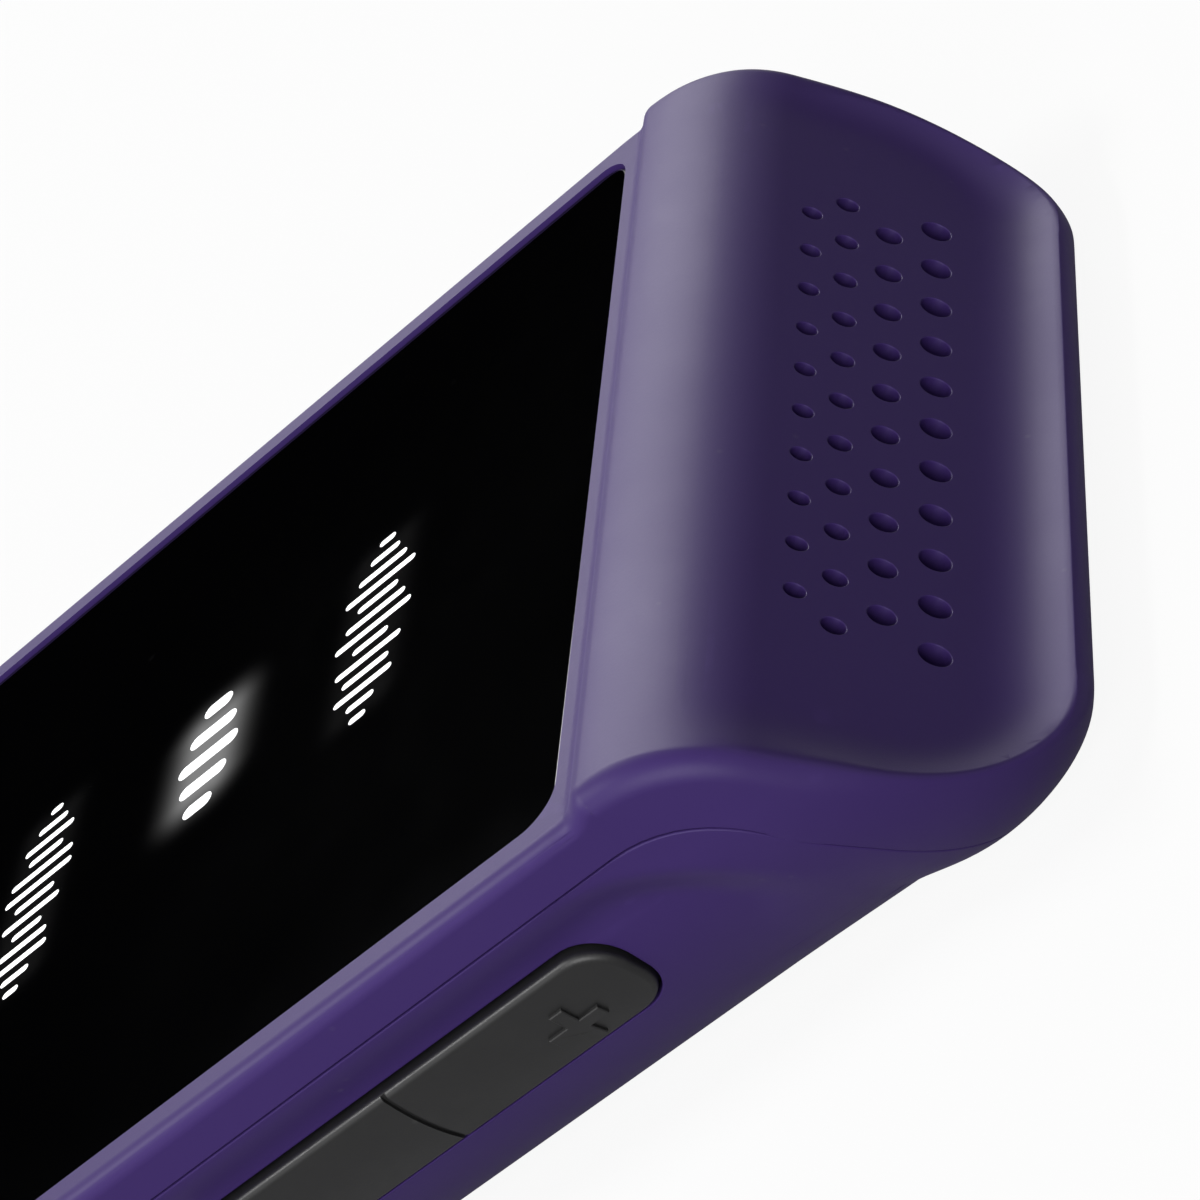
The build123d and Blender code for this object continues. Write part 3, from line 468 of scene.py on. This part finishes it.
glassSettings = {
    "color": (0.0008, 0.0008, 0.001), "rough": (0.035, 0.06), "smearScale": 35.0,
    "dustScale": 260.0, "dust": 0.01, "dustColor": (0.3, 0.3, 0.3),
    "edgeRough": 0.6, "edgeRange": (0.9, 0.995),  # how far the surface faces up, from the edge to the face
    "glows": [  # in millimetres on the face
        {"middle": (-0.2, 30.5), "half": (6.5, 1.2), "reach": 0.9, "power": 0.006},
        {"middle": (-0.5, 17.95), "half": (2.6, 0.9), "reach": 1.1, "power": 0.22},
        {"middle": (0.0, 4.2), "half": (6.5, 1.2), "reach": 0.9, "power": 0.006},
    ],
}


def makeGlass(s):
    # black-printed glass, with the light of the screen marks spreading softly in it
    material, tree, shader = newMaterial("cover_glass")
    place = tree.nodes.new("ShaderNodeTexCoord").outputs["Object"]
    smears = placeGroup(tree, "handling", Place=place, Scale=s["smearScale"], Amount=1.0).outputs["Mask"]
    dust = placeGroup(tree, "dust", Place=place, Scale=s["dustScale"], Amount=s["dust"]).outputs["Mask"]
    feed(tree, mixColor(tree, dust, rgba(s["color"]), rgba(s["dustColor"])), shader.inputs["Base Color"])
    # the ground edge is duller than the face
    normal = tree.nodes.new("ShaderNodeNewGeometry").outputs["Normal"]
    facing = addNode(tree, "ShaderNodeSeparateXYZ", Vector=normal)
    edge = remap(tree, facing.outputs["Z"], s["edgeRange"], (s["edgeRough"], 0.0))
    smooth = remap(tree, smears, (0.0, 1.0), s["rough"])
    feed(tree, arithmetic(tree, "MAXIMUM", smooth, edge), shader.inputs["Roughness"])
    axes = addNode(tree, "ShaderNodeSeparateXYZ", Vector=place)
    total = 0.0
    for glow in s["glows"]:
        parts = []
        for axis, middle, half in zip("XY", glow["middle"], glow["half"]):
            away = arithmetic(tree, "ABSOLUTE", arithmetic(tree, "SUBTRACT", axes.outputs[axis], middle * mm))
            parts.append(arithmetic(tree, "MAXIMUM", arithmetic(tree, "SUBTRACT", away, half * mm), 0.0))
        squares = [arithmetic(tree, "POWER", part, 2.0) for part in parts]
        distance = arithmetic(tree, "ADD", *squares)
        scaled = arithmetic(tree, "DIVIDE", distance, -2 * (glow["reach"] * mm) ** 2)
        light = arithmetic(tree, "MULTIPLY", arithmetic(tree, "EXPONENT", scaled), glow["power"])
        total = arithmetic(tree, "ADD", total, light)
    feed(tree, mixColor(tree, total, grey(0.0), grey(1.0)), shader.inputs["Emission Color"])
    shader.inputs["Emission Strength"].default_value = 1.0
    return material


finishes["cover_glass"] = makeGlass(glassSettings)

glowSettings = {
    "dotScale": 18000.0, "dots": ((0.92, 0.93, 0.95), (1.0, 1.0, 1.0)), "unlit": 0.8, "strength": 1.0,
}


def makeGlow(name, s):
    # the light of the screen, in the fine dots that it is made of
    material, tree, shader = newMaterial(name)
    place = tree.nodes.new("ShaderNodeTexCoord").outputs["Object"]
    dots = addNode(tree, "ShaderNodeTexChecker", Vector=place, Scale=s["dotScale"])
    dim, bright = s["dots"]
    feed(tree, mixColor(tree, dots.outputs["Fac"], rgba(dim), rgba(bright)), shader.inputs["Emission Color"])
    shader.inputs["Base Color"].default_value = grey(s["unlit"])
    shader.inputs["Emission Strength"].default_value = s["strength"]
    return material


finishes["lit"] = makeGlow("screenLight", glowSettings)
for item in frame["record"]["subparts"]:
    mesh = nodes[item["node"]].data
    mesh.materials.clear()
    mesh.materials.append(finishes[item["material_slot"]])
print(len(finishes), "finishes made")


bodyForm = {  # in millimetres and degrees
    "halfWidth": 31.0, "halfLength": 65.4, "corner": 12.0,
    "sideRoll": 13.7, "endRoll": 5.6, "rollTurn": 0.85,
    "glassTop": 46.5, "glassFace": 18.03, "bezelFace": 18.25, "crown": 19.0,
    "crownStart": 48.999, "crownRadius": 8.58, "slope": 56.0,
    "stepRadius": 1.2, "stepTurn": 60.0, "valley": 0.5,
    "bezelRim": 0.9, "crownRim": 1.35, "rimFrom": 46.0, "rimTo": 50.0,
    "dishRadius": 7.64, "dishSlope": 62.0, "dishTop": (55.745, 14.947), "dishLength": 14.3,
    "dishCorner": (9.2, 9.4), "dishHalfWidth": 29.95, "dishTurn": (4.4, 4.6), "turnPower": 2.3,
    "crest": 0.35, "crestDepth": 0.6, "noseRim": 0.8, "noseFrom": 55.0, "noseTo": 64.0,
    "waistStep": 1.0, "bandDrop": 3.65, "bandBend": 2.86, "bandEnd": (9.54, 20.0), "bandRadius": 4.8,
    "bandSoft": 1.7, "bandFade": (1.5, 9.0), "fadeHeights": (10.0, 2.0),
}


def smoothRise(low, high, value):
    t = np.clip((value - low) / (high - low), 0, 1)
    return t * t * (3 - 2 * t)


def insideBoth(a, b, r):
    # distance to what lies inside two forms, with their shared edge rounded
    return np.minimum(-r, np.maximum(a, b)) + np.hypot(np.maximum(r + a, 0), np.maximum(r + b, 0))


def insideEither(a, b, r):
    # distance to two forms joined, with a hollow round between them
    return np.maximum(r, np.minimum(a, b)) - np.hypot(np.maximum(r - a, 0), np.maximum(r - b, 0))


def bodyDistance(p, inset, s):
    # the upright walls in plan, rolled into the rear face
    qx = np.abs(p[:, 0]) - (s["halfWidth"] - s["corner"])
    qy = np.abs(p[:, 1]) - (s["halfLength"] - s["corner"])
    ax, ay = np.maximum(qx, 0), np.maximum(qy, 0)
    plan = np.hypot(ax, ay) + np.minimum(np.maximum(qx, qy), 0) - s["corner"]
    turn = smoothRise(0, s["rollTurn"], ay / (ax + ay + 1))
    roll = s["sideRoll"] + (s["endRoll"] - s["sideRoll"]) * turn
    return insideBoth(plan + inset, -p[:, 2], roll - inset)


def roundDistance(p, radius, back, down, s):
    # a round with its top level with the crown, turned so far back and so far down the slope
    y = p[:, 1] - s["crownStart"]
    lift = p[:, 2] - (s["crown"] - radius)
    angle = np.clip(np.arctan2(y, lift), math.radians(-back), math.radians(down))
    return y * np.sin(angle) + lift * np.cos(angle) - radius


def archDistance(p, s):
    # under an arch that starts level at the crown: tight towards the glass, wide down the slope
    near = roundDistance(p, s["stepRadius"], s["stepTurn"], 0, s)
    far = roundDistance(p, s["crownRadius"], 0, s["slope"], s)
    return np.where(p[:, 1] < s["crownStart"], near, far)


def frontDistance(p, s=bodyForm):
    # bezel, crown and slope over the rolled walls, less the dish
    bezel = p[:, 2] - s["bezelFace"]
    arch = archDistance(p, s)
    behind = p[:, 1] < s["crownStart"]
    top = np.where(behind, insideEither(bezel, arch, s["valley"]), arch)
    rise = smoothRise(s["rimFrom"], s["rimTo"], p[:, 1])
    fall = smoothRise(s["noseFrom"], s["noseTo"], p[:, 1])
    rim = s["bezelRim"] + (s["crownRim"] - s["bezelRim"]) * rise + (s["noseRim"] - s["crownRim"]) * fall
    solid = insideBoth(bodyDistance(p, 0, s), top, rim)
    # the dish: its floor, and the upright wall round it
    floor = np.where(behind, p[:, 2] - s["crown"], roundDistance(p, s["dishRadius"], 0, s["dishSlope"], s))
    down = math.radians(s["dishSlope"])
    along = (p[:, 1] - s["dishTop"][0]) * math.cos(down) - (p[:, 2] - s["dishTop"][1]) * math.sin(down)
    cx, cy = s["dishCorner"]
    qx = np.abs(p[:, 0]) - (s["dishHalfWidth"] - cx)
    qy = along - (s["dishLength"] - cy)
    k0 = np.hypot(qx / cx, qy / cy)
    k1 = np.hypot(qx / cx**2, qy / cy**2) + tiny
    wall = np.where((qx > 0) & (qy > 0), k0 * (k0 - 1) / k1, np.maximum(qx - cx, qy - cy))
    # the floor rises to the slope at the wall, ever steeper
    wide, tight = s["dishTurn"]
    turned = np.clip(1 + wall / (wide + (tight - wide) * fall), 0, 1) ** s["turnPower"]
    kept = np.where(behind, floor, floor + (arch - floor) * turned)
    crest = s["crest"] * smoothRise(0, s["crestDepth"], floor - arch)
    return insideBoth(solid, kept, crest)


def rearDistance(p, s=bodyForm):
    # the rolled walls, stepped in below a band that follows the parting line
    level = p[:, 2] - (s["glassFace"] - s["bandDrop"])
    run, drop = s["bandEnd"][0] - s["bandBend"], s["bandEnd"][1] - s["bandDrop"]
    size = math.hypot(run, drop)
    bend = (s["glassTop"] + s["bandBend"], s["glassFace"] - s["bandDrop"])
    steep = ((p[:, 1] - bend[0]) * drop + (p[:, 2] - bend[1]) * run) / size
    above = insideBoth(level, steep, s["bandRadius"])
    fade = 1 - smoothRise(s["fadeHeights"][1], s["fadeHeights"][0], p[:, 2])
    upper = s["bandSoft"] + s["bandFade"][0] * fade
    lower = s["bandSoft"] + s["bandFade"][1] * fade
    t = np.clip((upper - above) / (upper + lower), 0, 1)
    inset = s["waistStep"] * t**3 * (10 - 15 * t + 6 * t * t)
    return bodyDistance(p, inset, s)


def gradient(distance, p, step=0.002):
    # direction in which the distance grows, and how fast
    parts = []
    for axis in range(3):
        shift = np.zeros(3)
        shift[axis] = step
        parts.append((distance(p + shift) - distance(p - shift)) / (2 * step))
    return np.stack(parts, 1)


def settle(distance, p, rounds=5, reach=0.4, least=1e-12):
    # moves points onto the surface along its own direction
    p = p.copy()
    for _ in range(rounds):
        g = gradient(distance, p)
        size = (g * g).sum(1) + tiny
        move = -(distance(p) / size)[:, None] * g
        length = np.linalg.norm(move, axis=1) + least
        p += move * np.minimum(1, reach / length)[:, None]
    return p


def outward(distance, p):
    g = gradient(distance, p)
    return g / (np.linalg.norm(g, axis=1)[:, None] + tiny)


def places(verts):
    return np.array([v.co for v in verts], float).reshape(-1, 3) / mm


def settleVerts(distance, verts):
    for v, p in zip(verts, settle(distance, places(verts))):
        v.co = Vector(p) * mm


def markOuter(bm, distance, s):
    # 1 on the faces near the smooth form that look the same way; the floors of recesses stay out
    mark = bm.faces.layers.int.new("outer")
    middles = np.array([f.calc_center_median() for f in bm.faces], float) / mm
    normals = np.array([f.normal for f in bm.faces], float)
    facing = (normals * outward(distance, middles)).sum(1)
    reach = np.where(middles[:, 1] > s["noseStart"], s["noseReach"], s["reach"])
    near = np.abs(distance(middles)) < reach
    low, high = s["recessHeights"]
    recess = (normals[:, 2] < s["recessFacing"]) & (middles[:, 2] > low) & (middles[:, 2] < high)
    for face, on in zip(bm.faces, near & (facing > s["facing"]) & ~recess):
        face[mark] = int(on)
    return mark


def touchesOuter(item, mark):
    return any(f[mark] for f in item.link_faces)


def splitOuter(bm, mark, distance, s):
    # outer edges are halved until their middles lie on the form
    for _ in range(s["rounds"]):
        edges = [e for e in bm.edges if touchesOuter(e, mark) and e.calc_length() > s["shortest"] * mm]
        mids = np.array([(e.verts[0].co + e.verts[1].co) / 2 for e in edges], float) / mm
        gaps = np.linalg.norm(settle(distance, mids, s["gapRounds"]) - mids, axis=1)
        split = [e for e, gap in zip(edges, gaps) if gap > s["gap"]]
        if not split:
            break
        made = bmesh.ops.subdivide_edges(bm, edges=split, cuts=1)
        settleVerts(distance, [v for v in made["geom_inner"] if isinstance(v, bmesh.types.BMVert)])
        bmesh.ops.triangulate(bm, faces=[f for f in bm.faces if len(f.verts) > 3])
    bm.normal_update()


def bevelRims(bm, mark, width, s):
    # breaks the edges where the outer faces end, except round the glass; the new faces are marked 2
    def isRim(e):
        if len(e.link_faces) != 2 or sum(f[mark] for f in e.link_faces) != 1:
            return False
        byGlass = all(v.co.z > s["openingZ"] * mm and v.co.y < s["openingY"] * mm for v in e.verts)
        return e.calc_face_angle() > math.radians(s["rimAngle"]) and not byGlass

    made = bmesh.ops.bevel(
        bm, geom=[e for e in bm.edges if isRim(e)], offset=width * mm, offset_type="OFFSET",
        segments=2, profile=0.5, affect="EDGES", clamp_overlap=False,
    )
    for face in made["faces"]:
        face[mark] = 2
    bm.normal_update()


def shellMesh(bm, mark, distance, name):
    # outer points take their normals from the form itself
    for e in bm.edges:
        if len(e.link_faces) == 2:
            e.smooth = all(f[mark] for f in e.link_faces) or e.calc_face_angle() < sharpAngle
    for f in bm.faces:
        f.smooth = True
    outerVerts = [v for v in bm.verts if any(f[mark] == 1 for f in v.link_faces)]
    bm.verts.index_update()
    lookup = {v.index: tuple(n) for v, n in zip(outerVerts, outward(distance, places(outerVerts)))}
    onOuter = [f[mark] > 0 for f in bm.faces]
    mesh = bpy.data.meshes.new(name)
    bm.to_mesh(mesh)
    bm.free()
    ownNormal = (0.0, 0.0, 0.0)
    custom = []
    for poly, on in zip(mesh.polygons, onOuter):
        custom += [lookup.get(v, ownNormal) if on else ownNormal for v in poly.vertices]
    mesh.normals_split_custom_set(custom)
    return mesh


def smoothShell(node, name, distance, s):
    # the CAD housing with its outer faces settled on the smooth form
    bm = bmesh.new()
    bm.from_mesh(nodes[node].data)
    bmesh.ops.remove_doubles(bm, verts=bm.verts, dist=s["weld"])
    bmesh.ops.dissolve_degenerate(bm, edges=bm.edges, dist=s["collapse"])
    bmesh.ops.triangulate(bm, faces=bm.faces)
    bm.normal_update()
    mark = markOuter(bm, distance, s)
    settleVerts(distance, [v for v in bm.verts if touchesOuter(v, mark)])
    splitOuter(bm, mark, distance, s)
    bevelRims(bm, mark, s["edge"][name], s)
    mesh = shellMesh(bm, mark, distance, name)
    obj = bpy.data.objects.new(name, mesh)
    scene.collection.objects.link(obj)
    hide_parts(node)
    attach(obj, "housing")
    mesh.materials.append(finishes["housing"])
    print(name, len(mesh.vertices), "points,", len(mesh.polygons), "faces")


def keep(name, bm, body, slot, finish=None, smooth=True):
    # turns the built form into a piece on the body that carries it
    bm.normal_update()
    mesh = bpy.data.meshes.new(name)
    bm.to_mesh(mesh)
    bm.free()
    for poly in mesh.polygons:
        poly.use_smooth = smooth
    if smooth:
        mesh.set_sharp_from_angle(angle=sharpAngle)
    obj = bpy.data.objects.new(name, mesh)
    scene.collection.objects.link(obj)
    mesh.materials.append(finishes[finish or slot])
    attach(obj, body)


def layeredPlate(bm, rings, place):
    # closed plate from outline rings of the same count, each (points, height), lowest first
    layers = []
    for points, height in rings:
        layers.append([bm.verts.new(Vector(place(u, w, height)) * mm) for u, w in points])
    count = len(layers[0])
    for lower, upper in zip(layers, layers[1:]):
        for i in range(count):
            j = (i + 1) % count
            bm.faces.new((lower[i], lower[j], upper[j], upper[i]))
    top = bm.faces.new(layers[-1])
    bottom = bm.faces.new(list(reversed(layers[0])))
    bmesh.ops.triangulate(bm, faces=[top, bottom], ngon_method="EAR_CLIP")


signSettings = {
    "axis": (18.047, 13.846), "faceRadius": 12.7,  # X and Z of the axis of the rocker's crowned face
    "plus": (39.4, 9.35), "minus": (20.8, 9.35),  # Y and Z of the middle of each sign
    "arm": 1.55, "half": 0.4, "proud": 0.19, "edge": 0.05, "sunk": 0.15, "step": 0.24,
}


def crossOutline(arm, half):
    side = [(half, half), (half, arm), (-half, arm), (-half, half), (-arm, half), (-arm, -half)]
    return side + [(-u, -w) for u, w in side]


def barOutline(arm, half):
    return [(arm, half), (-arm, half), (-arm, -half), (arm, -half)]


def between(start, end, t):
    return tuple(a + (b - a) * t for a, b in zip(start, end))


def raisedSigns(s):
    # the two signs of the rocker, bent round its crowned face
    bm = bmesh.new()
    for (y, z), outline in ((s["plus"], crossOutline), (s["minus"], barOutline)):
        turn = math.asin((z - s["axis"][1]) / s["faceRadius"])

        def place(u, w, height):
            angle = turn + w / s["faceRadius"]
            reach = s["faceRadius"] + height
            return (s["axis"][0] + reach * math.cos(angle), y + u, s["axis"][1] + reach * math.sin(angle))

        full = outline(s["arm"], s["half"])
        inner = outline(s["arm"] - s["edge"], s["half"] - s["edge"])
        outerRing, innerRing = [], []
        for i in range(len(full)):
            j = (i + 1) % len(full)
            pieces = max(1, round(math.dist(full[i], full[j]) / s["step"]))
            for k in range(pieces):
                outerRing.append(between(full[i], full[j], k / pieces))
                innerRing.append(between(inner[i], inner[j], k / pieces))
        rings = [(outerRing, -s["sunk"]), (outerRing, s["proud"] - s["edge"]), (innerRing, s["proud"])]
        layeredPlate(bm, rings, place)
    keep("rockerSigns", bm, "volume_rocker", "key_plastic")


screenSettings = {
    "face": 18.03, "proud": 0.012, "sunk": 0.05, "cornerSteps": 5,
    "rows": [
        {
            "name": "upperVoice", "middle": (-0.2, 30.5), "pitch": 1.28, "width": 0.5,
            "heights": [1.2, 2.2, 3.6, 5.2, 3.0, 4.4, 5.6, 2.6, 4.8, 3.4, 4.2, 2.0, 1.2],
        },
        {
            "name": "middleVoice", "middle": (-0.5, 17.95), "pitch": 2.15, "width": 1.05,
            "heights": [2.2, 3.6, 4.6, 3.6, 2.2],
        },
        {
            "name": "lowerVoice", "middle": (0.0, 4.2), "pitch": 1.28, "width": 0.5,
            "heights": [1.0, 2.4, 4.0, 2.8, 5.0, 5.4, 3.2, 4.6, 2.4, 3.8, 4.4, 2.2, 1.2],
        },
    ],
}


def voiceBars(s, row):
    # the rising and falling bars of a voice, lit on the screen
    bm = bmesh.new()
    count = len(row["heights"])
    steps = s["cornerSteps"] * 2
    for i, height in enumerate(row["heights"]):
        x = row["middle"][0] + (i - (count - 1) / 2) * row["pitch"]
        radius = row["width"] / 2
        straight = height / 2 - radius
        points = []
        for side, start in ((1, 0), (-1, 180)):
            for k in range(steps + 1):
                angle = math.radians(start + 180 * k / steps)
                points.append((radius * math.cos(angle), side * straight + radius * math.sin(angle)))

        def place(u, w, lift):
            return (x + u, row["middle"][1] + w, s["face"] + lift)

        layeredPlate(bm, [(points, -s["sunk"]), (points, s["proud"])], place)
    keep(row["name"], bm, "housing", "display", "lit", smooth=False)


shellSettings = {
    "weld": 1e-6, "collapse": 1e-7,  # in metres, the rest in millimetres and degrees
    "reach": 0.9, "noseReach": 1.7, "noseStart": 54.0, "facing": 0.35,
    "recessFacing": -0.99, "recessHeights": (0.05, 2.0),
    "gap": 0.0035, "gapRounds": 3, "shortest": 0.08, "rounds": 10,
    "rimAngle": 40, "openingZ": 17.6, "openingY": 48.5, "edge": {"frontShell": 0.06, "rearShell": 0.11},
}
smoothShell("front_housing", "frontShell", frontDistance, shellSettings)
smoothShell("rear_housing", "rearShell", rearDistance, shellSettings)
raisedSigns(signSettings)
for row in screenSettings["rows"]:
    voiceBars(screenSettings, row)
print("signs and screen made")
